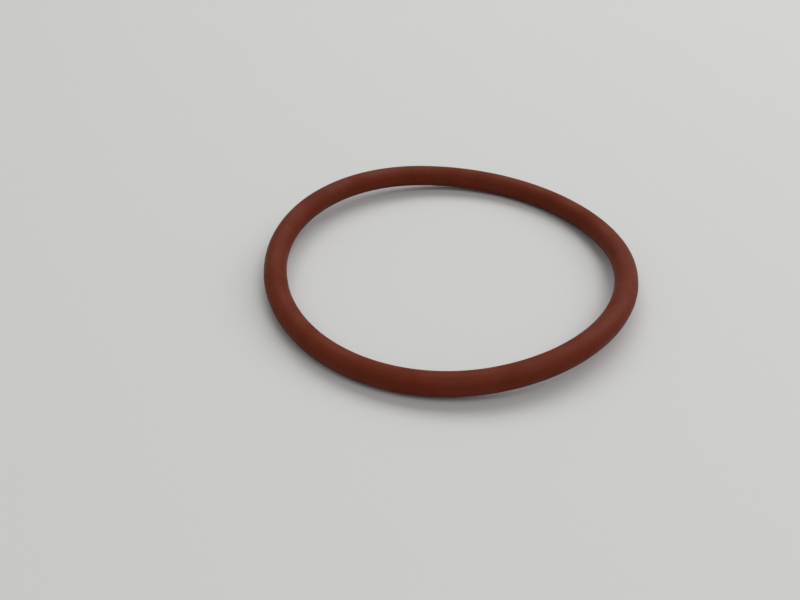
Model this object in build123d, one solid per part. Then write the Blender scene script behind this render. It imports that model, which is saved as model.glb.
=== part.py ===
from build123d import *

import math
import os

# A moulded silicone o-ring with a round section, lying free on a flat surface.
# Millimetres, +Z up. The origin is on that surface, under the middle of the ring.
#
# A free ring of soft rubber doesn't lie quite flat. It rests on two opposite feet, on the Y axis,
# and between them it lifts gently to two crests, on the X axis.

# Driving dimensions
inner_diameter = 51.5
section_diameter = 3.55
crest_rise = 1.8  # how far the crests stand above the feet

# Sizes that follow from them
section_radius = section_diameter / 2
centreline_radius = (inner_diameter + section_diameter) / 2
foot_height = section_radius
crest_height = foot_height + crest_rise

# Neighbouring arcs of the centreline meet on the diagonals, half-way up the rise. This is how far each
# meeting point lies along X and along Y: it is the only distance at which both arcs have one tangent.
join_offset = math.sqrt(centreline_radius**2 / 2 + crest_rise**2 / 8)
join_height = (foot_height + crest_height) / 2


def centreline() -> Wire:
    """The line through the middle of the section: two crest arcs and two foot arcs, in turn.

    Each is a circular arc of a little over a quarter turn, tangent to the arcs on both sides.
    """
    right_crest, left_crest = [Vector(x, 0, crest_height) for x in (centreline_radius, -centreline_radius)]
    back_foot, front_foot = [Vector(0, y, foot_height) for y in (centreline_radius, -centreline_radius)]
    back_right, back_left, front_left, front_right = [
        Vector(x * join_offset, y * join_offset, join_height) for x, y in ((1, 1), (-1, 1), (-1, -1), (1, -1))
    ]
    return Wire(
        [
            ThreePointArc(front_right, right_crest, back_right),
            ThreePointArc(back_right, back_foot, back_left),
            ThreePointArc(back_left, left_crest, front_left),
            ThreePointArc(front_left, front_foot, front_right),
        ]
    )


def o_ring() -> Solid:
    """The round section, carried once round the centreline."""
    path = centreline()
    section = Plane(origin=path @ 0, z_dir=path % 0) * Circle(section_radius)
    return sweep(section, path=path).solid()


os.makedirs("parts", exist_ok=True)
export_step(o_ring(), "parts/o_ring.step")
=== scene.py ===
import logging
import math
from collections.abc import Mapping
from dataclasses import dataclass, field
from enum import Enum

import bpy
from mathutils import Matrix, Vector


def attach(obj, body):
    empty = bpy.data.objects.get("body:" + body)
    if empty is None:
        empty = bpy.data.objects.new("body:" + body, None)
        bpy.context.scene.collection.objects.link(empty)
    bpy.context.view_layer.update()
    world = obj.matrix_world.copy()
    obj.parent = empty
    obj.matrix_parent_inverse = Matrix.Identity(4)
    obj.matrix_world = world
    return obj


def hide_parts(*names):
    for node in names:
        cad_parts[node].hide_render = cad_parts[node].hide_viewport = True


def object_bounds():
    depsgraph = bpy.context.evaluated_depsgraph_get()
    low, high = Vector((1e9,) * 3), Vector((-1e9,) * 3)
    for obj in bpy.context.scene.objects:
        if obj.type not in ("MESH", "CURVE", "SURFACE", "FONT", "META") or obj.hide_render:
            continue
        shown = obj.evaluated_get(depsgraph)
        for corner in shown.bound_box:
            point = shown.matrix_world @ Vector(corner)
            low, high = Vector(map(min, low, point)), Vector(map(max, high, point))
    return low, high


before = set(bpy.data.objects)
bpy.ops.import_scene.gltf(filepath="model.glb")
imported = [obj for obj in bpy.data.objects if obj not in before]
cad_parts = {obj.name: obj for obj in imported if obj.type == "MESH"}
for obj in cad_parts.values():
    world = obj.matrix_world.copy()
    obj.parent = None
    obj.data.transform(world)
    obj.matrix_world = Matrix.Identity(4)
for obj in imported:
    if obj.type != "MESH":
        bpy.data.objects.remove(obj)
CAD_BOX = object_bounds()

# A moulded silicone o-ring lying on a pale table. Metres, +Z up, in the frame of the CAD model:
# the table is at z = 0, the ring's two crests are on X and the two feet it rests on are on Y.

LOG = logging.getLogger("o_ring")
MM = 0.001

Feed = bpy.types.NodeSocket | bpy.types.Material | float | int | bool | str | tuple[float, ...]
Colour = tuple[float, float, float]


class InputKind(Enum):
    """What a named input of the ring's node tree holds."""

    SIZE = "NodeSocketFloat"
    COUNT = "NodeSocketInt"
    FINISH = "NodeSocketMaterial"


class RingMark(Enum):
    """Attributes that the ring's mesh carries for its finish to read."""

    SEAM = "seam"


@dataclass(frozen=True)
class NodeBench:
    """A node tree being wired, with one short call for each node.

    Args:
        tree: the shader or geometry tree that the nodes go into.
    """

    tree: bpy.types.NodeTree

    def add(
        self, kind: str, feeds: Mapping[str | int, Feed] | None = None, **settings: object
    ) -> bpy.types.Node:
        """Adds a node, sets its options and feeds its inputs.

        Args:
            kind: the node's type name.
            feeds: a value, or another node's output, for each input, by the input's name or number.
            settings: the node's own options.

        Returns:
            The new node.
        """
        node = self.tree.nodes.new(kind)
        for name, value in settings.items():
            setattr(node, name, value)
        for key, feed in (feeds or {}).items():
            self.feed(node.inputs[key], feed)
        return node

    def feed(self, socket: bpy.types.NodeSocket, feed: Feed) -> None:
        """Links an output to the socket, or sets the socket's own value.

        Args:
            socket: the input to feed.
            feed: another node's output, or a value.
        """
        if isinstance(feed, bpy.types.NodeSocket):
            self.tree.links.new(feed, socket)
        else:
            socket.default_value = feed

    def maths(self, operation: str, *feeds: Feed) -> bpy.types.NodeSocket:
        """Adds a Math node.

        Args:
            operation: what it does, such as MULTIPLY.
            feeds: its one to three inputs, in order.

        Returns:
            The node's output.
        """
        return self.add("ShaderNodeMath", dict(enumerate(feeds)), operation=operation).outputs[0]

    def point(self, x: Feed = 0.0, y: Feed = 0.0, z: Feed = 0.0) -> bpy.types.NodeSocket:
        """Returns a vector made of three numbers or outputs."""
        return self.add("ShaderNodeCombineXYZ", {"X": x, "Y": y, "Z": z}).outputs[0]

    def join(self, *geometries: bpy.types.NodeSocket) -> bpy.types.NodeSocket:
        """Joins several geometries into one.

        Args:
            geometries: the outputs to join.

        Returns:
            The joined geometry.
        """
        node = self.add("GeometryNodeJoinGeometry")
        for geometry in geometries:
            self.tree.links.new(geometry, node.inputs[0])
        return node.outputs[0]


@dataclass(frozen=True)
class SiliconeFinish:
    """Brick-red silicone rubber as it comes out of a fine-blasted mould.

    Args:
        pigment: the rubber's colour, linear.
        deep_pigment: its colour where the pigment is a little denser.
        bloom: its colour where a thin film of cured oil lies on the skin.
        dust: the colour of the odd pale speck.
        roughness: how matte the skin is on the whole.
        roughness_spread: how far the roughness moves from patch to patch.
        refraction: silicone's index of refraction.
        gloss: how much of the full reflection the blasted skin keeps, 0.5 being all of it.
        cloud_size: across the broad patches of pigment and gloss, in metres.
        fleck_size: across the fine flecks of denser pigment.
        film_size: across the patches of bloom.
        drift_size: across the fine changes of roughness.
        speck_spacing: between the places where a pale speck may lie.
        speck_share: how many of those places hold one.
        seam_bloom: how much of the bloom's colour the mould's seam shows.
        grain_size: of the mould's blasted grain.
        grain_depth: of that grain.
        dimple_size: across the broad soft dimples of the moulding.
        dimple_depth: of those dimples.
    """

    pigment: Colour = (0.122, 0.0196, 0.0067)
    deep_pigment: Colour = (0.107, 0.0162, 0.0053)
    bloom: Colour = (0.130, 0.0243, 0.0100)
    dust: Colour = (0.22, 0.12, 0.09)
    roughness: float = 0.56
    roughness_spread: float = 0.10
    refraction: float = 1.41
    gloss: float = 0.13
    cloud_size: float = 5.0 * MM
    fleck_size: float = 0.35 * MM
    film_size: float = 2.2 * MM
    drift_size: float = 0.5 * MM
    speck_spacing: float = 2.4 * MM
    speck_share: float = 0.18
    seam_bloom: float = 0.35
    grain_size: float = 0.11 * MM
    grain_depth: float = 0.007 * MM
    dimple_size: float = 1.1 * MM
    dimple_depth: float = 0.012 * MM

    def build(self) -> bpy.types.Material:
        """Makes the rubber's material of procedural nodes.

        Returns:
            The material.
        """
        material = bpy.data.materials.new("silicone")
        material.use_nodes = True
        bench = NodeBench(material.node_tree)
        shader = material.node_tree.nodes["Principled BSDF"]
        shader.inputs["IOR"].default_value = self.refraction
        shader.inputs["Specular IOR Level"].default_value = self.gloss
        place = bench.add("ShaderNodeTexCoord").outputs["Object"]
        seam = bench.add("ShaderNodeAttribute", attribute_name=RingMark.SEAM.value).outputs["Fac"]
        cloud = self._noise(bench, place, size=self.cloud_size, detail=3.0)
        bench.feed(shader.inputs["Base Color"], self._colour(bench, place, cloud, seam))
        bench.feed(shader.inputs["Roughness"], self._matte(bench, place, cloud, seam))
        bench.feed(shader.inputs["Normal"], self._skin(bench, place))
        return material

    def _noise(
        self, bench: NodeBench, place: bpy.types.NodeSocket, size: float, detail: float
    ) -> bpy.types.NodeSocket:
        """Wires a cloudy pattern.

        Args:
            bench: the tree being wired.
            place: where on the ring, in metres.
            size: across one patch, in metres.
            detail: how many finer scales it holds.

        Returns:
            The pattern, from 0 to 1.
        """
        fine_share = 0.55  # how strong each finer scale is beside the one above it
        feeds = {"Vector": place, "Scale": 1.0 / size, "Detail": detail, "Roughness": fine_share}
        return bench.add("ShaderNodeTexNoise", feeds).outputs["Fac"]

    def _spread(
        self, bench: NodeBench, value: Feed, low: float, high: float, floor: float, top: float
    ) -> bpy.types.NodeSocket:
        """Wires a smooth step that carries a pattern from one span of values to another.

        Args:
            bench: the tree being wired.
            value: the pattern.
            low: the pattern's value that gives the floor.
            high: the pattern's value that gives the top.
            floor: the result at low.
            top: the result at high.

        Returns:
            The result.
        """
        feeds = {"Value": value, "From Min": low, "From Max": high, "To Min": floor, "To Max": top}
        return bench.add("ShaderNodeMapRange", feeds, interpolation_type="SMOOTHSTEP").outputs["Result"]

    def _blend(self, bench: NodeBench, share: Feed, under: Feed, over: Feed) -> bpy.types.NodeSocket:
        """Wires one colour laid over another.

        Args:
            bench: the tree being wired.
            share: how much of the upper colour shows.
            under: the lower colour.
            over: the upper colour.

        Returns:
            The mixed colour.
        """
        mix = bench.add("ShaderNodeMix", {0: share, 6: under, 7: over}, data_type="RGBA")
        return mix.outputs[2]

    def _colour(
        self, bench: NodeBench, place: bpy.types.NodeSocket, cloud: Feed, seam: bpy.types.NodeSocket
    ) -> bpy.types.NodeSocket:
        """Wires the colour: uneven pigment, a faint bloom, the seam's paler edge and the odd speck.

        Args:
            bench: the tree being wired.
            place: where on the ring, in metres.
            cloud: the broad pattern.
            seam: 1 on the mould's seam and 0 off it.

        Returns:
            The colour.
        """
        depth = self._spread(bench, cloud, 0.42, 0.66, 0.0, 0.75)
        pigment = self._blend(bench, depth, (*self.pigment, 1.0), (*self.deep_pigment, 1.0))
        fleck = self._noise(bench, place, size=self.fleck_size, detail=4.0)
        mottle = self._spread(bench, fleck, 0.5, 0.7, 0.0, 0.8)
        mottled = self._blend(bench, mottle, pigment, (*self.deep_pigment, 1.0))
        film = self._noise(bench, place, size=self.film_size, detail=2.0)
        haze = self._spread(bench, film, 0.5, 0.74, 0.0, 0.6)
        bloomed = self._blend(bench, haze, mottled, (*self.bloom, 1.0))
        edge = bench.maths("MULTIPLY", seam, self.seam_bloom)
        edged = self._blend(bench, edge, bloomed, (*self.bloom, 1.0))
        return self._blend(bench, self._specks(bench, place), edged, (*self.dust, 1.0))

    def _specks(self, bench: NodeBench, place: bpy.types.NodeSocket) -> bpy.types.NodeSocket:
        """Wires the odd tiny speck of dust, scattered at random and the same each time.

        Args:
            bench: the tree being wired.
            place: where on the ring, in metres.

        Returns:
            How much of the dust's colour shows, from 0 to a half.
        """
        spots = bench.add("ShaderNodeTexVoronoi", {"Vector": place, "Scale": 1.0 / self.speck_spacing})
        near = self._spread(bench, spots.outputs["Distance"], 0.012, 0.026, 1.0, 0.0)
        draw = bench.add("ShaderNodeSeparateColor", {0: spots.outputs["Color"]}).outputs[0]
        held = bench.maths("GREATER_THAN", draw, 1.0 - self.speck_share)
        return bench.maths("MULTIPLY", bench.maths("MULTIPLY", near, held), 0.5)

    def _matte(
        self, bench: NodeBench, place: bpy.types.NodeSocket, cloud: Feed, seam: bpy.types.NodeSocket
    ) -> bpy.types.NodeSocket:
        """Wires the roughness: it drifts from patch to patch, and the seam is a little smoother.

        Args:
            bench: the tree being wired.
            place: where on the ring, in metres.
            cloud: the broad pattern.
            seam: 1 on the mould's seam and 0 off it.

        Returns:
            The roughness.
        """
        low, high = self.roughness - self.roughness_spread, self.roughness + self.roughness_spread
        patch = self._spread(bench, cloud, 0.3, 0.7, low, high)
        fine = self._noise(bench, place, size=self.drift_size, detail=3.0)
        drift = bench.maths("MULTIPLY_ADD", bench.maths("SUBTRACT", fine, 0.5), self.roughness_spread, patch)
        return bench.maths("MULTIPLY_ADD", seam, -self.roughness_spread, drift)

    def _skin(self, bench: NodeBench, place: bpy.types.NodeSocket) -> bpy.types.NodeSocket:
        """Wires the relief: the blasted grain on top of broad soft dimples.

        Args:
            bench: the tree being wired.
            place: where on the ring, in metres.

        Returns:
            The surface's normal.
        """
        dimple = self._noise(bench, place, size=self.dimple_size, detail=1.5)
        grain = self._noise(bench, place, size=self.grain_size, detail=2.5)
        soft = {"Strength": 1.0, "Distance": self.dimple_depth, "Height": dimple}
        dimpled = bench.add("ShaderNodeBump", soft).outputs[0]
        fine = {"Strength": 1.0, "Distance": self.grain_depth, "Height": grain, "Normal": dimpled}
        return bench.add("ShaderNodeBump", fine).outputs[0]


@dataclass(frozen=True)
class TableFinish:
    """A plain pale matte table.

    Args:
        colour: the table's colour, linear.
        roughness: how matte it is.
    """

    colour: Colour = (0.59, 0.59, 0.58)
    roughness: float = 0.7

    def build(self) -> bpy.types.Material:
        """Makes the table's material.

        Returns:
            The material.
        """
        material = bpy.data.materials.new("table")
        material.use_nodes = True
        shader = material.node_tree.nodes["Principled BSDF"]
        shader.inputs["Base Color"].default_value = (*self.colour, 1.0)
        shader.inputs["Roughness"].default_value = self.roughness
        return material


@dataclass
class MouldedRing:
    """The one piece: a round section carried round a closed line of four tangent arcs.

    The arcs through the two crests and those through the two feet take turns, so that the ring
    stands on its feet and lifts to its crests, as a free soft ring does.

    Args:
        outer_diameter: across the ring, outside, in metres.
        height: from the table to the top of the crests.
        section_diameter: of the round section.
        seam_height: how far the line that the mould's halves leave stands out, inside and outside.
        seam_width: that line's width at its foot.
        arc_steps: steps along each of the four arcs.
        section_steps: steps round the section.
        finish: the rubber's material.
    """

    outer_diameter: float
    height: float
    section_diameter: float = 3.55 * MM
    seam_height: float = 0.03 * MM
    seam_width: float = 0.12 * MM
    arc_steps: int = 128
    section_steps: int = 128
    finish: SiliconeFinish = field(default_factory=SiliconeFinish)

    def _tree(self) -> bpy.types.GeometryNodeTree:
        """Wires the node tree that makes the ring from its named inputs.

        Returns:
            The tree.
        """
        tree = bpy.data.node_groups.new("moulded_ring", "GeometryNodeTree")
        for name, kind in (
            ("Outer Diameter", InputKind.SIZE),
            ("Height", InputKind.SIZE),
            ("Section Diameter", InputKind.SIZE),
            ("Seam Height", InputKind.SIZE),
            ("Seam Width", InputKind.SIZE),
            ("Arc Steps", InputKind.COUNT),
            ("Section Steps", InputKind.COUNT),
            ("Finish", InputKind.FINISH),
        ):
            tree.interface.new_socket(name, in_out="INPUT", socket_type=kind.value)
        tree.interface.new_socket("Ring", in_out="OUTPUT", socket_type="NodeSocketGeometry")

        bench = NodeBench(tree)
        sizes = bench.add("NodeGroupInput").outputs
        rail = self._centreline(bench, sizes)
        section = self._section(bench, sizes)
        skin = bench.add("GeometryNodeCurveToMesh", {"Curve": rail, "Profile Curve": section}).outputs[0]
        smooth = bench.add("GeometryNodeSetShadeSmooth", {"Geometry": skin}).outputs[0]
        plain = bench.add("GeometryNodeRealizeInstances", {"Geometry": smooth}).outputs[0]
        feeds = {"Geometry": plain, "Material": sizes["Finish"]}
        dressed = bench.add("GeometryNodeSetMaterial", feeds).outputs[0]
        bench.add("NodeGroupOutput", {"Ring": dressed})
        return tree

    def _centreline(self, bench: NodeBench, sizes: bpy.types.bpy_prop_collection) -> bpy.types.NodeSocket:
        """Wires the closed line through the middle of the section.

        Args:
            bench: the tree being wired.
            sizes: the tree's named inputs.

        Returns:
            The line as one closed curve.
        """
        section_radius = bench.maths("DIVIDE", sizes["Section Diameter"], 2)
        radius = bench.maths("SUBTRACT", bench.maths("DIVIDE", sizes["Outer Diameter"], 2), section_radius)
        rise = bench.maths("SUBTRACT", sizes["Height"], sizes["Section Diameter"])
        crest_height = bench.maths("ADD", section_radius, rise)
        join_height = bench.maths("MULTIPLY_ADD", rise, 0.5, section_radius)
        # Arcs meet on the diagonals at sqrt(radius^2 / 2 + rise^2 / 8) along X and along Y,
        # the one place where both have the same tangent.
        half_radius_squared = bench.maths("DIVIDE", bench.maths("POWER", radius, 2), 2)
        eighth_rise_squared = bench.maths("DIVIDE", bench.maths("POWER", rise, 2), 8)
        reach = bench.maths("SQRT", bench.maths("ADD", half_radius_squared, eighth_rise_squared))
        back = bench.maths("MULTIPLY", reach, -1)

        front_right = bench.point(reach, back, join_height)
        back_right = bench.point(reach, reach, join_height)
        back_left = bench.point(back, reach, join_height)
        crest = bench.point(x=radius, z=crest_height)
        foot = bench.point(y=radius, z=section_radius)
        arcs = [
            bench.add(
                "GeometryNodeCurveArc",
                {"Resolution": sizes["Arc Steps"], "Start": start, "Middle": middle, "End": end},
                mode="POINTS",
            ).outputs["Curve"]
            for start, middle, end in ((front_right, crest, back_right), (back_right, foot, back_left))
        ]
        half = bench.join(*arcs)
        half_turn = {"Geometry": half, "Rotation": (0.0, 0.0, math.pi)}
        other_half = bench.add("GeometryNodeTransform", half_turn).outputs[0]
        edges = bench.add("GeometryNodeCurveToMesh", {"Curve": bench.join(half, other_half)}).outputs[0]
        weld = 0.001 * MM  # far less than a step, so that only the arcs' shared ends are merged
        loop = bench.add("GeometryNodeMergeByDistance", {"Geometry": edges, "Distance": weld}).outputs[0]
        curve = bench.add("GeometryNodeMeshToCurve", {"Mesh": loop}).outputs[0]
        return bench.add("GeometryNodeSetCurveNormal", {"Curve": curve}, mode="Z_UP").outputs[0]

    def _section(self, bench: NodeBench, sizes: bpy.types.bpy_prop_collection) -> bpy.types.NodeSocket:
        """Wires the round section, with the mould's fine seam where it is widest.

        Args:
            bench: the tree being wired.
            sizes: the tree's named inputs.

        Returns:
            The section as one closed curve that carries the seam attribute.
        """
        crowding = 0.3  # draws the steps together at the seams, where the section turns sharply
        falloff = -8.0  # leaves about an eighth of the seam's height at half its width from the middle
        steps = {"Resolution": sizes["Section Steps"]}
        circle = bench.add("GeometryNodeCurvePrimitiveCircle", steps).outputs[0]
        share = bench.add("GeometryNodeSplineParameter").outputs["Factor"]
        turn = bench.maths("MULTIPLY", share, math.tau)
        twice = bench.maths("SINE", bench.maths("MULTIPLY", turn, 2))
        angle = bench.maths("MULTIPLY_ADD", twice, -crowding, turn)
        across = bench.maths("COSINE", angle)
        up = bench.maths("SINE", angle)
        section_radius = bench.maths("DIVIDE", sizes["Section Diameter"], 2)
        off_seam = bench.maths("DIVIDE", bench.maths("MULTIPLY", up, section_radius), sizes["Seam Width"])
        seam = bench.maths("EXPONENT", bench.maths("MULTIPLY", bench.maths("POWER", off_seam, 2), falloff))
        outline = bench.maths("MULTIPLY_ADD", seam, sizes["Seam Height"], section_radius)
        place = bench.point(bench.maths("MULTIPLY", across, outline), bench.maths("MULTIPLY", up, outline))
        shaped = bench.add("GeometryNodeSetPosition", {"Geometry": circle, "Position": place}).outputs[0]
        return bench.add(
            "GeometryNodeStoreNamedAttribute",
            {"Geometry": shaped, "Name": RingMark.SEAM.value, "Value": seam},
            data_type="FLOAT",
            domain="POINT",
        ).outputs[0]

    def build(self) -> bpy.types.Object:
        """Makes the ring, in place of its CAD solid.

        Returns:
            The finished piece, as a plain mesh.
        """
        blank = bpy.data.objects.new("ring_blank", bpy.data.meshes.new("ring_blank"))
        bpy.context.scene.collection.objects.link(blank)
        modifier = blank.modifiers.new("moulded_ring", "NODES")
        modifier.node_group = self._tree()
        values = {
            "Outer Diameter": self.outer_diameter,
            "Height": self.height,
            "Section Diameter": self.section_diameter,
            "Seam Height": self.seam_height,
            "Seam Width": self.seam_width,
            "Arc Steps": self.arc_steps,
            "Section Steps": self.section_steps,
            "Finish": self.finish.build(),
        }
        for socket in modifier.node_group.interface.items_tree:
            if socket.in_out == "INPUT":
                modifier[socket.identifier] = values[socket.name]
        evaluated = blank.evaluated_get(bpy.context.evaluated_depsgraph_get())
        mesh = bpy.data.meshes.new_from_object(evaluated)
        mesh.name = "silicone_ring"
        blank.modifiers.remove(modifier)
        bpy.data.objects.remove(blank)
        ring = bpy.data.objects.new("silicone_ring", mesh)
        bpy.context.scene.collection.objects.link(ring)
        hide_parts("o_ring")
        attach(ring, "root")
        return ring


@dataclass(frozen=True)
class Softbox:
    """A soft lamp with a flat rectangular face, aimed at the ring.

    Args:
        name: the lamp's name.
        azimuth: degrees; 0 stands on the -Y side, 90 on the +X side.
        elevation: degrees above the table.
        distance: from the ring, in metres.
        width: of the lamp's face, in metres.
        height: of the lamp's face, in metres.
        share: how much of the table's light comes from this lamp.
    """

    name: str
    azimuth: float
    elevation: float
    distance: float
    width: float
    height: float
    share: float

    def build(self) -> bpy.types.Object:
        """Hangs the lamp and sets its power.

        Returns:
            The lamp.
        """
        azimuth, elevation = math.radians(self.azimuth), math.radians(self.elevation)
        lamp = bpy.data.lights.new(self.name, "AREA")
        lamp.shape = "RECTANGLE"
        lamp.size = self.width
        lamp.size_y = self.height
        lamp.energy = self.share * (math.pi * self.distance) ** 2 / math.sin(elevation)
        stand = bpy.data.objects.new(self.name, lamp)
        outward = Vector(
            (
                math.sin(azimuth) * math.cos(elevation),
                -math.cos(azimuth) * math.cos(elevation),
                math.sin(elevation),
            )
        )
        stand.location = outward * self.distance
        stand.rotation_euler = outward.to_track_quat("Z", "Y").to_euler()
        bpy.context.scene.collection.objects.link(stand)
        return stand


@dataclass(frozen=True)
class Viewpoint:
    """Where the camera stands and what it looks at.

    Args:
        azimuth: degrees; 0 looks along +Y and 90 along -X.
        elevation: degrees above the table.
        roll: degrees that the camera's right side is tipped up.
        distance: from the aim point, in metres.
        aim: the point on the table that the camera looks at.
        focal_length: in millimetres, on a sensor 36 mm wide.
    """

    azimuth: float = 35.67
    elevation: float = 38.25
    roll: float = 0.61
    distance: float = 135.14 * MM
    aim: tuple[float, float, float] = (-2.606 * MM, -9.769 * MM, 0.0)
    focal_length: float = 39.15

    def build(self) -> bpy.types.Object:
        """Makes the camera and gives it to the scene.

        Returns:
            The camera.
        """
        lens = bpy.data.cameras.new("camera")
        lens.sensor_width = 36.0
        lens.lens = self.focal_length
        lens.clip_start = 1 * MM
        lens.clip_end = 20.0
        camera = bpy.data.objects.new("camera", lens)
        azimuth, elevation = math.radians(self.azimuth), math.radians(self.elevation)
        turn = (
            Matrix.Rotation(azimuth, 4, "Z")
            @ Matrix.Rotation(math.pi / 2 - elevation, 4, "X")
            @ Matrix.Rotation(math.radians(self.roll), 4, "Z")
        )
        camera.matrix_world = Matrix.Translation(self.aim) @ turn @ Matrix.Translation((0, 0, self.distance))
        bpy.context.scene.collection.objects.link(camera)
        bpy.context.scene.camera = camera
        return camera


@dataclass
class Studio:
    """The plain table, the soft light and the camera.

    Args:
        table_size: across the round table, in metres.
        table: the table's finish.
        lamps: the soft lamps.
        room_share: how much of the table's light comes evenly from the whole room.
        backdrop: the room's own look, linear, where it is seen past the table.
        viewpoint: the camera's place.
    """

    table_size: float = 2.6
    table: TableFinish = field(default_factory=TableFinish)
    lamps: tuple[Softbox, ...] = (
        Softbox(
            "back_lamp", azimuth=200.0, elevation=55.0, distance=1.0, width=1.2, height=0.55, share=0.48
        ),
        Softbox(
            "back_right_lamp", azimuth=155.0, elevation=32.0, distance=1.0, width=0.6, height=0.4, share=0.085
        ),
        Softbox(
            "front_left_lamp", azimuth=356.0, elevation=52.0, distance=1.0, width=0.5, height=0.5, share=0.075
        ),
        Softbox(
            "front_right_lamp", azimuth=71.0, elevation=58.0, distance=1.0, width=0.5, height=0.5, share=0.215
        ),
    )
    room_share: float = 0.26
    backdrop: Colour = (0.57, 0.57, 0.56)
    viewpoint: Viewpoint = field(default_factory=Viewpoint)

    def build(self) -> None:
        """Lays the table, hangs the lamps, sets the room's light and places the camera."""
        self._lay_table()
        for lamp in self.lamps:
            lamp.build()
        self._light_room()
        self.viewpoint.build()

    def _lay_table(self) -> bpy.types.Object:
        """Lays the round table top, which isn't part of the object.

        Returns:
            The table top.
        """
        corners = 96
        radius = self.table_size / 2
        turns = [math.tau * step / corners for step in range(corners)]
        edge = [(radius * math.cos(turn), radius * math.sin(turn), 0.0) for turn in turns]
        mesh = bpy.data.meshes.new("table")
        mesh.from_pydata(edge, [], [tuple(range(corners))])
        mesh.materials.append(self.table.build())
        table = bpy.data.objects.new("table", mesh)
        bpy.context.scene.collection.objects.link(table)
        return table

    def _light_room(self) -> None:
        """Gives the room an even pale light, and a pale backdrop wherever the room itself is seen."""
        world = bpy.data.worlds.new("room")
        world.use_nodes = True
        bench = NodeBench(world.node_tree)
        light = world.node_tree.nodes["Background"]
        light.inputs["Color"].default_value = (1.0, 1.0, 1.0, 1.0)
        light.inputs["Strength"].default_value = self.room_share
        rays = bench.add("ShaderNodeLightPath").outputs
        mirrored = bench.maths("MAXIMUM", rays["Is Glossy Ray"], rays["Is Transmission Ray"])
        seen = bench.maths("MAXIMUM", rays["Is Camera Ray"], mirrored)
        look = {"Color": (*self.backdrop, 1.0), "Strength": 1.0}
        backdrop = bench.add("ShaderNodeBackground", look).outputs[0]
        mixed = bench.add("ShaderNodeMixShader", {0: seen, 1: light.outputs[0], 2: backdrop}).outputs[0]
        bench.feed(world.node_tree.nodes["World Output"].inputs["Surface"], mixed)
        bpy.context.scene.world = world


def main() -> None:
    """Builds the ring and the studio round it."""
    logging.basicConfig(level=logging.INFO, format="%(name)s: %(message)s")
    low, high = CAD_BOX
    ring = MouldedRing(outer_diameter=high.x - low.x, height=high.z - low.z).build()
    LOG.info("%s: %d faces", ring.name, len(ring.data.polygons))
    Studio().build()
    scene = bpy.context.scene
    scene.view_settings.view_transform = "Standard"


if __name__ == "__main__":
    main()
